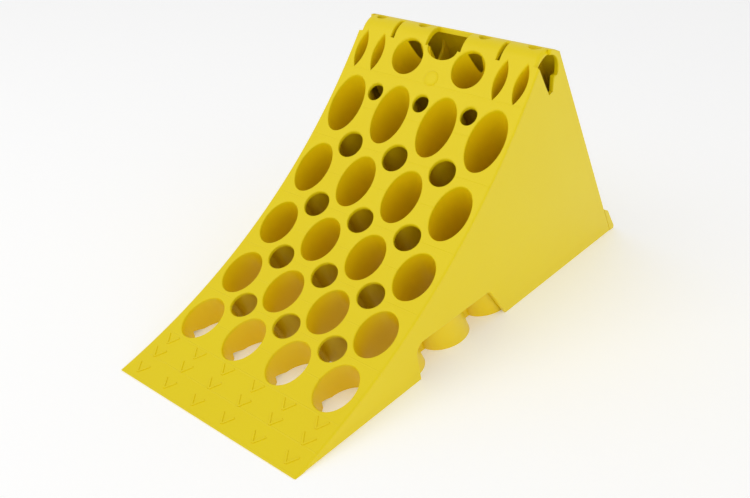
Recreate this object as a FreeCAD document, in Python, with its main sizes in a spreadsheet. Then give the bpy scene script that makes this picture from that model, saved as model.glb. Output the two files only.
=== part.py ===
"""Moulded wheel chock: a hollow plastic wedge that stops a parked wheel.

Frame: +X across the chock, -Y towards the toe, +Y towards the heel, +Z up.
The origin is on the floor, in the middle of the footprint. Lengths are in
millimetres and angles in degrees.

The chock is one moulding. Its nodes are the moulding's own regions: the deck
that the wheel rolls up, the two side walls, the rear wall with its lip, the
hood over the carrying passage, and the tubes and ribs that hold the deck up.
All tubes and ribs run along one draw direction, which leans towards the heel.
"""

import FreeCAD, Part
import os
import re
import Sketcher
from FreeCAD import Placement, Rotation, Vector

DIMENSIONS = (
    # name, value, what it is
    ("length", 470, "toe to heel on the floor"),
    ("width", 200, "across the floor"),
    ("wall_draft", 1.2, "inward lean of each side wall"),
    ("block_height", 240, "height of the block that the chock is cut from"),
    ("tread_radius", 530, "wheel radius that the deck fits"),
    ("toe_slope", 14.87, "slope of the deck at the toe"),
    ("toe_edge", 0.6, "height of the blunt toe edge"),
    ("skin", 3.0, "thickness of the deck"),
    ("side_wall", 3.7, "thickness of a side wall"),
    ("rear_wall", 3.5, "thickness of the rear wall"),
    ("rear_lean", 30.4, "forward lean of the rear wall"),
    ("rear_foot", 227.7, "where the rear wall's outer face meets the floor"),
    ("draw_lean", 28.5, "lean of the tubes and ribs, towards the heel"),
    ("plate_end", -188.0, "where the toe plate ends and the tread begins"),
    ("tread_end", 43.5, "where the tread ends and the crest begins"),
    # hood over the passage
    ("hood_y", 83.6, "axis of the hood, along the chock"),
    ("hood_z", 205.6, "axis of the hood, above the floor"),
    ("hood_foot", 213.4, "where the deck ends and the hood begins"),
    ("hood_end", 92.4, "end of the hood, from the middle"),
    ("hood_radius", 18.7, "outer radius of the hood"),
    ("hood_skin", 4.6, "thickness of the hood and of the cap behind it"),
    ("cap_fall", 22.0, "backward fall of the cap behind the hood"),
    ("slit_x", 55.9, "each slit in the hood, from the middle"),
    ("slit_width", 3.4, "width of a slit"),
    ("slit_back", 83.0, "rear end of a slit"),
    ("eye_outer_x", 80.5, "outer ridge holes, from the middle"),
    ("eye_inner_x", 32.1, "inner ridge holes, from the middle"),
    ("eye_radius", 5.7, "radius of a ridge hole"),
    ("eye_y", 84.2, "a ridge hole's axis at eye_z"),
    ("eye_z", 224.0, "height at which eye_y is given"),
    # passage below the hood: a wedge that opens downwards from the round part
    ("passage_tip_y", 66.9, "front corner of the passage"),
    ("passage_tip_z", 213.9, "front corner of the passage"),
    ("passage_foot_y", 85.0, "lowest corner of the passage"),
    ("passage_foot_z", 185.7, "lowest corner of the passage"),
    ("passage_back_y", 91.2, "rear side of the passage"),
    ("passage_floor_z", 187.0, "rear end of the passage floor"),
    ("passage_step_z", 200.5, "where the rear side meets the round part"),
    # grip tubes, in four columns and five rows, row 1 nearest the toe
    ("column_pitch", 50.33, "between tube columns"),
    ("row_pitch", 47.15, "between tube rows, along the floor"),
    ("row_first", -164.6, "row 1, where its axis meets the deck"),
    ("tube_half_width", 16.5, "bore of a tube, half its width"),
    ("tube_wall", 2.7, "wall of a tube"),
    ("bore_half_1", 21.2, "bore of row 1, half its length"),
    ("bore_half_2", 21.3, "bore of row 2, half its length"),
    ("bore_half_3", 21.6, "bore of row 3, half its length"),
    ("bore_half_4", 24.1, "bore of row 4, half its length"),
    ("bore_half_5", 26.0, "bore of row 5, half its length"),
    ("notch_front", -166.0, "front of the notch under row 1"),
    ("notch_back", -152.5, "back of the notch under row 1"),
    ("notch_height", 4.9, "height of the notch under row 1"),
    # round deck holes, in three columns between the tubes
    ("hole_radius", 12.0, "radius of a deck hole"),
    ("hole_first", -140.3, "first row of deck holes"),
    ("hole_pitch", 46.6, "between rows of deck holes"),
    ("top_hole_y", 35.2, "the small top row of deck holes"),
    ("top_hole_radius", 7.6, "radius of a small top hole"),
    # crest: two round tubes, one middle tube under the gap, four lens slots
    ("crest_tube_y", 58.4, "crest tubes, where their axes meet the deck"),
    ("crest_tube_x", 32.3, "crest tubes, from the middle"),
    ("crest_half_width", 15.7, "bore of a crest tube, half its width"),
    ("crest_half_length", 14.8, "bore of a crest tube, half its length"),
    ("gap_half_width", 18.3, "half the gap between the halves of the hood"),
    ("gap_back", 88.5, "rear end of that gap"),
    ("middle_tube_y", 71.1, "middle tube's axis at middle_tube_z"),
    ("middle_tube_z", 213.5, "height at which middle_tube_y is given"),
    ("middle_half_width", 15.3, "bore of the middle tube, half its width"),
    ("middle_half_length", 13.6, "bore of the middle tube, half its length"),
    ("slot_y", 57.0, "slots, where their axes meet the deck"),
    ("slot_inner_x", 65.2, "inner slots, from the middle"),
    ("slot_outer_x", 84.9, "outer slots, from the middle"),
    ("slot_half_width", 5.2, "half the width of a slot"),
    ("slot_half_length", 15.6, "half the length of a slot"),
    ("slot_wall", 2.0, "wall round a slot"),
    # ribs
    ("rib_thickness", 2.6, "long ribs"),
    ("rib_front", -205.0, "front end of the long ribs"),
    # opening at the foot of each side wall
    ("arch_front_foot", -91.0, "front of the side opening, on the floor"),
    ("arch_front_top", -97.5, "front of the side opening, at its top"),
    ("arch_back_top", 4.0, "back of the side opening, at its top"),
    ("arch_back_foot", 31.5, "back of the side opening, on the floor"),
    ("arch_height", 35.0, "height of the side opening"),
    ("arch_corner", 8.0, "radius of its upper corners"),
    # lip along the foot of the rear wall
    ("lip_top_z", 30.4, "where the lip's top meets the rear wall"),
    ("lip_crown_y", 219.0, "upper outer corner of the lip"),
    ("lip_crown_z", 26.0, "upper outer corner of the lip"),
    ("lip_foot_z", 4.0, "height of the lip's vertical foot"),
    # raised arrowheads on the toe plate
    ("arrow_pitch", 33.9, "between arrowhead columns"),
    ("arrow_row_1", -229.0, "tips of the first row"),
    ("arrow_row_2", -211.5, "tips of the second row"),
    ("arrow_row_3", -197.0, "tips of the third row"),
    ("arrow_half_width", 6.0, "half the spread of an arrowhead"),
    ("arrow_length", 9.0, "length of an arrowhead"),
    ("arrow_bar", 1.6, "width of an arrowhead's bars"),
    ("arrow_rise", 0.7, "how far an arrowhead stands proud"),
)

SHEET = "Dimensions"
NAMES = {alias: f"{SHEET}.{alias}" for alias, _, _ in DIMENSIONS}
FAR = 400.0          # longer than any part of the chock
ABOVE = 60.0         # how far above the deck a bore starts
BELOW = 60.0         # how far below the floor it ends
TALL = 40.0          # taller than the hood
UNDER = "-20"        # below the floor
LONGER = "0.001"     # a round hole is an oval that is longer by this
NEAR = 0.01          # how close an edge has to be to a corner
ANY_TURN = 10.0      # keeps an axis until the sheet sets the angle
LEFT, RIGHT = -1, 1
COLUMNS = (-1.5, -0.5, 0.5, 1.5)
HOLE_COLUMNS = (-1, 0, 1)
ARROW_COLUMNS = (-2.5, -1.5, -0.5, 0.5, 1.5, 2.5)
ROWS = (1, 2, 3, 4, 5)

doc = FreeCAD.newDocument("WheelChock")
sheet = doc.addObject("Spreadsheet::Sheet", SHEET)
for line, (alias, value, meaning) in enumerate(DIMENSIONS, start=1):
    sheet.set(f"A{line}", meaning)
    sheet.set(f"B{line}", str(value))
    sheet.setAlias(f"B{line}", alias)
doc.recompute()


def size(expression):
    """An expression in which every dimension's name is looked up in the sheet."""
    return re.sub(r"[a-z]\w*", lambda word: NAMES.get(word[0], word[0]), expression)


def bind(item, **expressions):
    """Binds properties to the sheet. A double underscore stands for a dot."""
    for name, expression in expressions.items():
        item.setExpression(name.replace("__", "."), size(str(expression)))
    return item


def at(item, x="0", y="0", z="0", axis=None, turn="0"):
    """Places an item, turned about an axis through its own base point."""
    if axis is not None:
        item.Placement = Placement(Vector(), Rotation(axis, ANY_TURN))
        bind(item, Placement__Rotation__Angle=turn)
    return bind(item, Placement__Base__x=x, Placement__Base__y=y, Placement__Base__z=z)


def box(name, x, y, z, length, width, height, turn=None):
    """A box with its corner at x, y, z, turned about the X axis through it."""
    item = bind(doc.addObject("Part::Box", name), Length=length, Width=width, Height=height)
    if turn is None:
        return at(item, x, y, z)
    return at(item, x, y, z, Vector(1, 0, 0), turn)


def rod(name, radius, y, z):
    """A round bar along X, longer than the chock is wide."""
    item = bind(doc.addObject("Part::Cylinder", name), Radius=radius, Height=FAR)
    item.Placement = Placement(Vector(-FAR / 2, 0, 0), Rotation(Vector(0, 1, 0), 90))
    return bind(item, Placement__Base__y=y, Placement__Base__z=z)


def cut(name, base, tool):
    item = doc.addObject("Part::Cut", name)
    item.Base, item.Tool = base, tool
    return item


def fuse(name, items):
    item = doc.addObject("Part::MultiFuse", name)
    item.Shapes = items
    return item


def common(name, items):
    item = doc.addObject("Part::MultiCommon", name)
    item.Shapes = items
    return item


def group(name, items):
    """Like solids that stay apart, kept as one sub-part."""
    item = doc.addObject("Part::Compound", name)
    item.Links = items
    return item


def drafted_block(name, inset):
    """The chock's block: it narrows upwards by the draft of the side walls."""
    item = doc.addObject("Part::Wedge", name)
    foot = f"( width / 2 - {inset} )"
    top = f"( width / 2 - {inset} - block_height * tan( wall_draft * 1 deg ) )"
    bind(item, Xmin=f"-1 * {foot}", Xmax=foot, X2min=f"-1 * {top}", X2max=top)
    bind(item, Ymin="0", Ymax="block_height")
    bind(item, Zmin="-1 * length / 2", Zmax="length / 2")
    bind(item, Z2min="-1 * length / 2", Z2max="length / 2")
    item.Placement = Placement(Vector(), Rotation(Vector(1, 0, 0), 90))
    return item


def outline_pad(name, corners):
    """A prism right across the chock from an outline in the YZ plane.

    Each corner is (y, z, radius), with None for a sharp corner.
    """
    body = doc.addObject("PartDesign::Body", name)
    sketch = body.newObject("Sketcher::SketchObject", f"{name}_outline")
    plane = [f for f in body.Origin.OriginFeatures if f.Role == "YZ_Plane"][0]
    sketch.AttachmentSupport = [(plane, "")]
    sketch.MapMode = "FlatFace"
    count = len(corners)
    value = [[float(sheet.evalExpression(size(c))) for c in corner[:2]] for corner in corners]
    ends = [Vector(y, z, 0) for y, z in value]
    for i in range(count):
        sketch.addGeometry(Part.LineSegment(ends[i], ends[(i + 1) % count]))
    for i in range(count):
        before = (i - 1) % count
        sketch.addConstraint(Sketcher.Constraint("Coincident", before, 2, i, 1))
        for kind, expression in (("DistanceX", corners[i][0]), ("DistanceY", corners[i][1])):
            place = value[i][0] if kind == "DistanceX" else value[i][1]
            number = sketch.addConstraint(Sketcher.Constraint(kind, i, 1, place))
            sketch.setExpression(f"Constraints[{number}]", size(expression))
    pad = body.newObject("PartDesign::Pad", f"{name}_pad")
    pad.Profile = sketch
    pad.Midplane = True
    pad.Length = FAR
    doc.recompute()
    rounded = [c for c in corners if c[2] is not None]
    if rounded:
        fillet = body.newObject("PartDesign::Fillet", f"{name}_corners")
        fillet.Base = (pad, round_edges(pad.Shape, corners, value))
        bind(fillet, Radius=rounded[0][2])
    return body


def round_edges(shape, corners, value):
    """The names of the edges along X that stand on an outline's rounded corners."""
    wanted = [v for v, corner in zip(value, corners) if corner[2] is not None]
    names = []
    for number, edge in enumerate(shape.Edges, start=1):
        middle = edge.CenterOfMass
        near = [v for v in wanted if abs(middle.y - v[0]) + abs(middle.z - v[1]) < NEAR]
        if near and abs(middle.x) < NEAR:
            names.append(f"Edge{number}")
    return names


# ---- places that many features share -------------------------------------------------
TREAD_Y = "( -1 * length / 2 - tread_radius * sin( toe_slope * 1 deg ) )"
TREAD_Z = "( toe_edge + tread_radius * cos( toe_slope * 1 deg ) )"


def deck_height(y):
    """Height of the deck's surface at a distance y along the chock."""
    return f"( {TREAD_Z} - sqrt( tread_radius ^ 2 - ( {y} - {TREAD_Y} ) ^ 2 ) )"


def oval_bar(name, x, y, z, half_width, half_length):
    """A bar along the draw direction. Its axis passes through x, y, z.

    Its section square to the axis is an oval, wider along the chock. It is
    pushed out obliquely from a level oval, so that it needs no turning.
    """
    lean = "( draw_lean * 1 deg )"
    oval = doc.addObject("Part::Ellipse", f"{name}_oval")
    oval.Placement = Placement(Vector(), Rotation(Vector(0, 0, 1), 90))
    bind(oval, MajorRadius=f"( {half_length} ) / cos( {lean} )", MinorRadius=half_width)
    bind(
        oval,
        Placement__Base__x=x,
        Placement__Base__y=f"{y} - {ABOVE} * sin( {lean} )",
        Placement__Base__z=f"{z} + {ABOVE} * cos( {lean} )",
    )
    bar = doc.addObject("Part::Extrusion", name)
    bar.Base = oval
    bar.DirMode = "Custom"
    bar.Solid = True
    bind(bar, Dir__x="0", Dir__y=f"sin( {lean} )", Dir__z=f"-1 * cos( {lean} )")
    bind(bar, LengthFwd=f"{ABOVE} + ( {z} + {BELOW} ) / cos( {lean} )")
    return bar


def round_bar(name, x, y, z, radius):
    """A bar along the draw direction with a round section."""
    return oval_bar(name, x, y, z, radius, f"{radius} + {LONGER}")


def lens_bar(name, x, grow):
    """A bar along the draw direction with a lens section, for a crest slot."""
    flat = f"( slot_half_width + {grow} )"
    tall = f"( slot_half_length + {grow} )"
    radius = f"( ( {flat} ^ 2 + {tall} ^ 2 ) / ( 2 * {flat} ) )"
    lean = "( draw_lean * 1 deg )"
    halves = []
    for side in (LEFT, RIGHT):
        half = doc.addObject("Part::Cylinder", f"{name}_{'left' if side < 0 else 'right'}")
        bind(half, Radius=radius, Height=FAR)
        at(
            half,
            f"{x} + {side} * ( {radius} - {flat} )",
            f"slot_y + ( {FAR} - {ABOVE} ) * sin( {lean} )",
            f"{deck_height('slot_y')} - ( {FAR} - {ABOVE} ) * cos( {lean} )",
            Vector(1, 0, 0),
            "draw_lean",
        )
        halves.append(half)
    return common(name, halves)


# ---- the outer form, the deck zone and the hollow ------------------------------------
block = drafted_block("block", "0")
core = drafted_block("core", "side_wall")
wheel = rod("wheel_space", "tread_radius", TREAD_Y, TREAD_Z)
deck_zone = rod("deck_zone", "tread_radius + skin", TREAD_Y, TREAD_Z)

rear_up = f"( {FAR} / 2 )"
rear_corner_y = f"( rear_foot + {rear_up} * sin( rear_lean * 1 deg ) )"
rear_corner_z = f"( -1 * {rear_up} * cos( rear_lean * 1 deg ) )"
behind = box("behind", f"-{FAR} / 2", rear_corner_y, rear_corner_z, FAR, FAR, 2 * FAR, "rear_lean")
rear_slab = box(
    "rear_slab",
    f"-{FAR} / 2",
    f"{rear_corner_y} - rear_wall * cos( rear_lean * 1 deg )",
    f"{rear_corner_z} - rear_wall * sin( rear_lean * 1 deg )",
    FAR,
    "rear_wall",
    2 * FAR,
    "rear_lean",
)


def cap_box(name, reach, lift, deep, tall):
    """A box lying along the cap's slope: reach is in front of the hood's crown."""
    fall = "( cap_fall * 1 deg )"
    y = f"hood_y + ( {lift} ) * sin( {fall} ) - {reach} * cos( {fall} )"
    z = f"hood_z + ( {lift} ) * cos( {fall} ) + {reach} * sin( {fall} )"
    return box(name, f"-{FAR} / 2", y, z, FAR, deep, tall, "-1 * cap_fall")


above = cap_box("above_cap", FAR / 2, "hood_radius", FAR, FAR)
crown_shift = "hood_radius * sin( cap_fall * 1 deg )"
front_top = box(
    "front_top", f"-{FAR} / 2", f"hood_y + {crown_shift} - {FAR}", "hood_foot", FAR, FAR, FAR
)
wedge = cut("wedge", block, fuse("around", [wheel, behind, above, front_top]))
hood_bar = rod("hood_bar", "hood_radius", "hood_y", "hood_z")
hood_core = rod("hood_core", "hood_radius - hood_skin", "hood_y", "hood_z")
outer = fuse("outer", [wedge, common("hood_in_block", [hood_bar, block])])

passage_wedge = outline_pad(
    "passage_wedge",
    [
        ("passage_tip_y", "passage_tip_z", None),
        ("passage_foot_y", "passage_foot_z", None),
        ("passage_back_y", "passage_floor_z", None),
        ("passage_back_y", "passage_step_z", None),
        ("hood_y", "passage_tip_z", None),
    ],
)
passage_top = outline_pad(
    "passage_top",
    [
        ("passage_tip_y", "passage_tip_z", None),
        ("passage_foot_y", "passage_foot_z", None),
        ("passage_back_y", "passage_floor_z", None),
        ("passage_back_y", "passage_step_z", None),
        ("hood_y + hood_radius", "passage_step_z", None),
        ("hood_y + hood_radius", "hood_z + hood_radius", None),
        ("passage_tip_y", "hood_z + hood_radius", None),
    ],
)
passage = fuse("passage", [common("passage_round", [hood_core, passage_top]), passage_wedge])

cap_top = cap_box("cap_top", FAR / 2, "hood_radius - hood_skin", FAR, FAR)
deck_slab = common("deck_slab", [wedge, deck_zone])
inside = common("inside", [wedge, core])
hood_back = common("hood_back", [hood_bar, box("hood_rear", f"-{FAR} / 2", "hood_y", 0, FAR, FAR, FAR)])
hollow = cut("hollow", inside, fuse("hollow_limits", [deck_zone, rear_slab, cap_top, hood_back]))

# ---- everything that pierces the deck ------------------------------------------------
bores = []
sleeves = []
row_bores = {}
row_sleeves = {}
for row in ROWS:
    row_y = f"( row_first + {row - 1} * row_pitch )"
    row_bores[row] = []
    row_sleeves[row] = []
    for column, place in enumerate(COLUMNS, start=1):
        x = f"( {place} * column_pitch )"
        bore = oval_bar(
            f"bore_{row}_{column}",
            x,
            row_y,
            deck_height(row_y),
            "tube_half_width",
            f"bore_half_{row}",
        )
        sleeve = oval_bar(
            f"sleeve_{row}_{column}",
            x,
            row_y,
            deck_height(row_y),
            "tube_half_width + tube_wall",
            f"bore_half_{row} + tube_wall",
        )
        row_bores[row].append(bore)
        row_sleeves[row].append(sleeve)
    bores += row_bores[row]
    sleeves += row_sleeves[row]

deck_holes = []
for column, place in enumerate(HOLE_COLUMNS, start=1):
    x = f"( {place} * column_pitch )"
    for row in range(1, 5):
        y = f"( hole_first + {row - 1} * hole_pitch )"
        deck_holes.append(round_bar(f"hole_{row}_{column}", x, y, deck_height(y), "hole_radius"))
    y = "top_hole_y"
    deck_holes.append(round_bar(f"hole_5_{column}", x, y, deck_height(y), "top_hole_radius"))

crest_bores = []
crest_sleeves = []
for side, word in ((LEFT, "left"), (RIGHT, "right")):
    for grow, kept, stem in (("0", crest_bores, "bore"), ("tube_wall", crest_sleeves, "sleeve")):
        kept.append(
            oval_bar(
                f"crest_{stem}_{word}",
                f"( {side} * crest_tube_x )",
                "crest_tube_y",
                deck_height("crest_tube_y"),
                f"crest_half_width + {grow}",
                f"crest_half_length + {grow}",
            )
        )
middle_bore = oval_bar(
    "middle_bore", "0", "middle_tube_y", "middle_tube_z", "middle_half_width", "middle_half_length"
)
middle_sleeve = oval_bar(
    "middle_sleeve",
    "0",
    "middle_tube_y",
    "middle_tube_z",
    "middle_half_width + tube_wall",
    "middle_half_length + tube_wall",
)
hood_gap = box(
    "hood_gap",
    "-1 * gap_half_width",
    "0",
    "hood_foot",
    "2 * gap_half_width",
    "gap_back",
    TALL,
)

slot_bores = []
slot_sleeves = []
for side, word in ((LEFT, "left"), (RIGHT, "right")):
    for where in ("inner", "outer"):
        x = f"{side} * slot_{where}_x"
        slot_bores.append(lens_bar(f"slot_bore_{where}_{word}", x, "0"))
        slot_sleeves.append(lens_bar(f"slot_sleeve_{where}_{word}", x, "slot_wall"))

piercings = fuse("piercings", bores + deck_holes + crest_bores + [middle_bore] + slot_bores)
deck = cut("deck", deck_slab, piercings)
all_sleeves = fuse("all_sleeves", sleeves + crest_sleeves + [middle_sleeve] + slot_sleeves)

nodes = {}


def zone(name, start, end):
    """A box across the chock between two distances along it."""
    return box(name, f"-{FAR} / 2", start, f"-{BELOW}", FAR, f"( {end} ) - ( {start} )", FAR)


# ---- deck ----------------------------------------------------------------------------
nodes["toe_plate"] = common(
    "toe_plate_solid", [deck_slab, zone("toe_zone", "-1 * length", "plate_end")]
)
for row in ROWS:
    start = "plate_end" if row == 1 else f"( hole_first + {row - 2} * hole_pitch )"
    end = "tread_end" if row == 5 else f"( hole_first + {row - 1} * hole_pitch )"
    strip = zone(f"strip_zone_{row}", start, end)
    nodes[f"tread_band_{row}"] = common(f"tread_band_{row}_solid", [deck, strip])
nodes["crest_band"] = common("crest_band_solid", [deck, zone("crest_zone", "tread_end", "hood_y")])

arrow_bars = []
for row in (1, 2, 3):
    for column in ARROW_COLUMNS:
        for side in (LEFT, RIGHT):
            bar = doc.addObject("Part::Box", f"arrow_{row}_{column}_{'left' if side < 0 else 'right'}")
            spread = "atan( arrow_half_width / arrow_length )"
            bind(bar, Length="arrow_bar", Height=FAR)
            bind(bar, Width="sqrt( arrow_half_width ^ 2 + arrow_length ^ 2 )")
            shift = f"{-side} * arrow_bar / 2 - arrow_bar / 2"
            at(
                bar,
                f"{column} * arrow_pitch + {shift}",
                f"arrow_row_{row}",
                UNDER,
                Vector(0, 0, 1),
                f"{-side} * {spread}",
            )
            arrow_bars.append(bar)
raised_zone = rod("raised_zone", "tread_radius - arrow_rise", TREAD_Y, TREAD_Z)
raised_skin = cut("raised_skin", wheel, raised_zone)
arrow_fan = fuse("arrow_fan", arrow_bars)
nodes["toe_arrows"] = common("toe_arrows_solid", [arrow_fan, raised_skin, block])

# ---- side walls ----------------------------------------------------------------------
arch = outline_pad(
    "arch",
    [
        ("arch_front_foot", UNDER, None),
        ("arch_front_foot", "0", None),
        ("arch_front_top", "arch_height", "arch_corner"),
        ("arch_back_top", "arch_height", "arch_corner"),
        ("arch_back_foot", "0", None),
        ("arch_back_foot", UNDER, None),
    ],
)
shoulder = box("shoulder", f"-{FAR} / 2", 0, "hood_foot", FAR, "hood_y", TALL)
hood_span = box("hood_span", "-1 * hood_end", 0, "hood_foot", "2 * hood_end", FAR, TALL)
hood_blank = common("hood_blank", [hood_bar, hood_span])
wall_limits = fuse("wall_limits", [core, deck_slab, arch, passage, shoulder, hood_blank])
walls = cut("walls", outer, wall_limits)
for side, word in ((LEFT, "left"), (RIGHT, "right")):
    half = box(f"half_{word}", 0 if side > 0 else -FAR, -FAR, -FAR, FAR, 2 * FAR, 2 * FAR)
    nodes[f"side_wall_{word}"] = common(f"side_wall_{word}_solid", [walls, half])

# ---- rear wall, cap and lip ----------------------------------------------------------
nodes["rear_wall"] = common("rear_wall_solid", [wedge, core, rear_slab])
lip_bar = outline_pad(
    "lip_bar",
    [
        ("rear_foot - lip_top_z * tan( rear_lean * 1 deg )", "lip_top_z", None),
        ("lip_crown_y", "lip_crown_z", None),
        ("length / 2", "lip_foot_z", None),
        ("length / 2", "0", None),
        ("rear_foot", "0", None),
    ],
)
nodes["heel_lip"] = common("heel_lip_solid", [lip_bar, block])

hood_holes = []
for side, word in ((LEFT, "left"), (RIGHT, "right")):
    x = f"{side} * slit_x - slit_width / 2"
    hood_holes.append(box(f"slit_{word}", x, 0, "hood_foot", "slit_width", "slit_back", TALL))
    for where in ("inner", "outer"):
        x = f"{side} * eye_{where}_x"
        hood_holes.append(round_bar(f"eye_{where}_{word}", x, "eye_y", "eye_z", "eye_radius"))
crest_openings = fuse("crest_openings", hood_holes + [hood_gap, middle_bore])
cap_slab = cap_box("cap_slab", "0", "hood_radius - hood_skin", FAR, "hood_skin")
cap = common("cap_blank", [cap_slab, core, wedge])
nodes["crest_cap"] = cut("crest_cap_solid", cap, fuse("cap_limits", [rear_slab, crest_openings]))

# ---- hood: a round shell in segments between the slits and the middle gap ------------
hood_before_cap = cap_box("hood_before_cap", FAR, f"-{FAR}", FAR, 2 * FAR)
hood_arc = common("hood_arc", [cut("hood_shell", hood_blank, hood_core), hood_before_cap])
hood_open = cut("hood_open", hood_arc, crest_openings)
SEGMENTS = (
    ("hood_outer_left", "-1 * width / 2", "-1 * slit_x"),
    ("hood_inner_left", "-1 * slit_x", "0"),
    ("hood_inner_right", "0", "slit_x"),
    ("hood_outer_right", "slit_x", "width / 2"),
)
for name, start, end in SEGMENTS:
    span = box(f"{name}_span", start, 0, 0, f"( {end} ) - ( {start} )", FAR, FAR)
    nodes[name] = common(f"{name}_solid", [hood_open, span])

# ---- tubes ---------------------------------------------------------------------------
notch = outline_pad(
    "notch",
    [
        ("notch_front", UNDER, None),
        ("notch_front", "notch_height", None),
        ("notch_back", "0", None),
        ("notch_back", UNDER, None),
    ],
)
for row in ROWS:
    tubes = []
    for column, (bore, sleeve) in enumerate(zip(row_bores[row], row_sleeves[row]), start=1):
        blank = common(f"tube_blank_{row}_{column}", [sleeve, hollow])
        tube = cut(f"tube_{row}_{column}", blank, bore)
        if row == 1:
            tube = cut(f"tube_notched_{column}", tube, notch)
        tubes.append(tube)
    nodes[f"grip_tubes_{row}"] = group(f"grip_tubes_{row}_solids", tubes)

crest_limits = fuse("crest_limits", sleeves + crest_bores + [middle_bore, passage] + slot_sleeves)
crest_blank = common("crest_blank", [fuse("crest_sleeves", crest_sleeves + [middle_sleeve]), hollow])
nodes["crest_tubes"] = cut("crest_tubes_solid", crest_blank, crest_limits)

slot_limits = fuse("slot_limits", sleeves + slot_bores + [passage])
slot_blank = common("slot_blank", [fuse("slot_sleeves", slot_sleeves), hollow])
nodes["crest_slots"] = cut("crest_slots_solid", slot_blank, slot_limits)

# ---- ribs ----------------------------------------------------------------------------
rib_room = cut("rib_room", hollow, fuse("rib_limits", [all_sleeves, passage]))
for column, place in enumerate(COLUMNS, start=1):
    rib = box(
        f"rib_box_{column}",
        f"{place} * column_pitch - rib_thickness / 2",
        "rib_front",
        0,
        "rib_thickness",
        2 * FAR,
        FAR,
    )
    nodes[f"long_rib_{column}"] = common(f"long_rib_{column}_solid", [rib, rib_room])

# ---- check and export ----------------------------------------------------------------
doc.recompute()
os.makedirs("parts", exist_ok=True)
for item in doc.Objects:
    if "Invalid" in item.State or "Error" in item.State:
        raise RuntimeError(f"{item.Name} failed: {item.State}")
for label, item in nodes.items():
    item.Label = label
    shape = item.Shape
    if shape.isNull() or not shape.isValid() or not shape.Solids:
        raise RuntimeError(f"{label} is empty or not valid")
    shape.exportStep(f"parts/{label}.step")
    print(f"{label:18s} solids {len(shape.Solids):2d}  volume {shape.Volume / 1000:8.1f} cm3")
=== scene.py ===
"""Models a moulded plastic wheel chock round its CAD frame, and sets a plain studio for it.

The deck, hood, cap and rear wall of the real chock are one skin. They are modelled together
as a flat sheet with every opening in it, given rounded rims while it is flat, parted, and
then wrapped round the chock's profile. Across the sheet is X, along it is the distance from
the toe, and down from its face is the depth under the skin.
"""

import math

import bmesh
import bpy
from bpy.props import FloatProperty, FloatVectorProperty, PointerProperty
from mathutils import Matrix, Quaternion, Vector


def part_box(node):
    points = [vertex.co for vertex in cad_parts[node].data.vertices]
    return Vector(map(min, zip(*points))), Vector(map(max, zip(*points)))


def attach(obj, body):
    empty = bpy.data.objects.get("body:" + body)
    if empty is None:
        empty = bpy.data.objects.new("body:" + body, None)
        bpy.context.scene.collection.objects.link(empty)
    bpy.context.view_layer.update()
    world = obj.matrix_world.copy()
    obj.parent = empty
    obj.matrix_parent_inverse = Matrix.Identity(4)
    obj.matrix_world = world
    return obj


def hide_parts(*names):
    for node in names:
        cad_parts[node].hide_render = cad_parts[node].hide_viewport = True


bl_info = {
    "name": "Wheel Chock",
    "version": (1, 0, 0),
    "blender": (4, 5, 0),
    "location": "3D View > Sidebar > Wheel Chock",
    "description": "Models a moulded plastic wheel chock round its CAD frame",
    "category": "Object",
}

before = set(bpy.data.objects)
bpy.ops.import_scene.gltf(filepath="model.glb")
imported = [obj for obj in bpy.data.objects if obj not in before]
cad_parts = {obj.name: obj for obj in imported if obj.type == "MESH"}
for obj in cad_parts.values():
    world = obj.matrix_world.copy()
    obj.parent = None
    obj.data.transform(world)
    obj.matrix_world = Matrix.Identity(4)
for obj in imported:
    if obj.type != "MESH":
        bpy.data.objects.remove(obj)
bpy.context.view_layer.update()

MM = 0.001
TINY = 0.01 * MM
BESIDE = 0.3 * MM    # how far past a step in its outline the sheet is parted
THROUGH = 30 * MM    # depth of a cutter, deeper than the sheet is thick
BLEND = 8 * MM       # how soon the walls of an opening turn square to the hood
MARGIN = 5 * MM      # how near a side the sheet follows the draft
DECK_STEP = 2.6 * MM
HOOD_STEP = 1.2 * MM
CORNER_STEP = 0.6 * MM
MERGE = 0.01 * MM
SHEET = "flat_sheet"
COLUMNS = (-1.5, -0.5, 0.5, 1.5)
HOLE_COLUMNS = (-1, 0, 1)
ARROW_COLUMNS = (-2.5, -1.5, -0.5, 0.5, 1.5, 2.5)
ARROW_TIPS = (-229.0 * MM, -211.5 * MM, -197.0 * MM)
CAMERA_PLACE = (0.443394, -0.542472, 0.439656)
CAMERA_AHEAD = (-0.569017, 0.659385, -0.491357)
CAMERA_ROLL = -1.345
CAMERA_LENS = 42.71
BORE_HALF_LENGTHS = (21.2 * MM, 21.3 * MM, 21.6 * MM, 24.1 * MM, 26.0 * MM)


def length(name, value, description):
    """A length in millimetres that a user can change."""
    return FloatProperty(
        name=name,
        default=value * MM,
        description=description,
        subtype="DISTANCE",
        unit="LENGTH",
    )


def angle(name, value, description):
    """An angle in degrees that a user can change."""
    return FloatProperty(
        name=name,
        default=math.radians(value),
        description=description,
        subtype="ANGLE",
        unit="ROTATION",
    )


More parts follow.
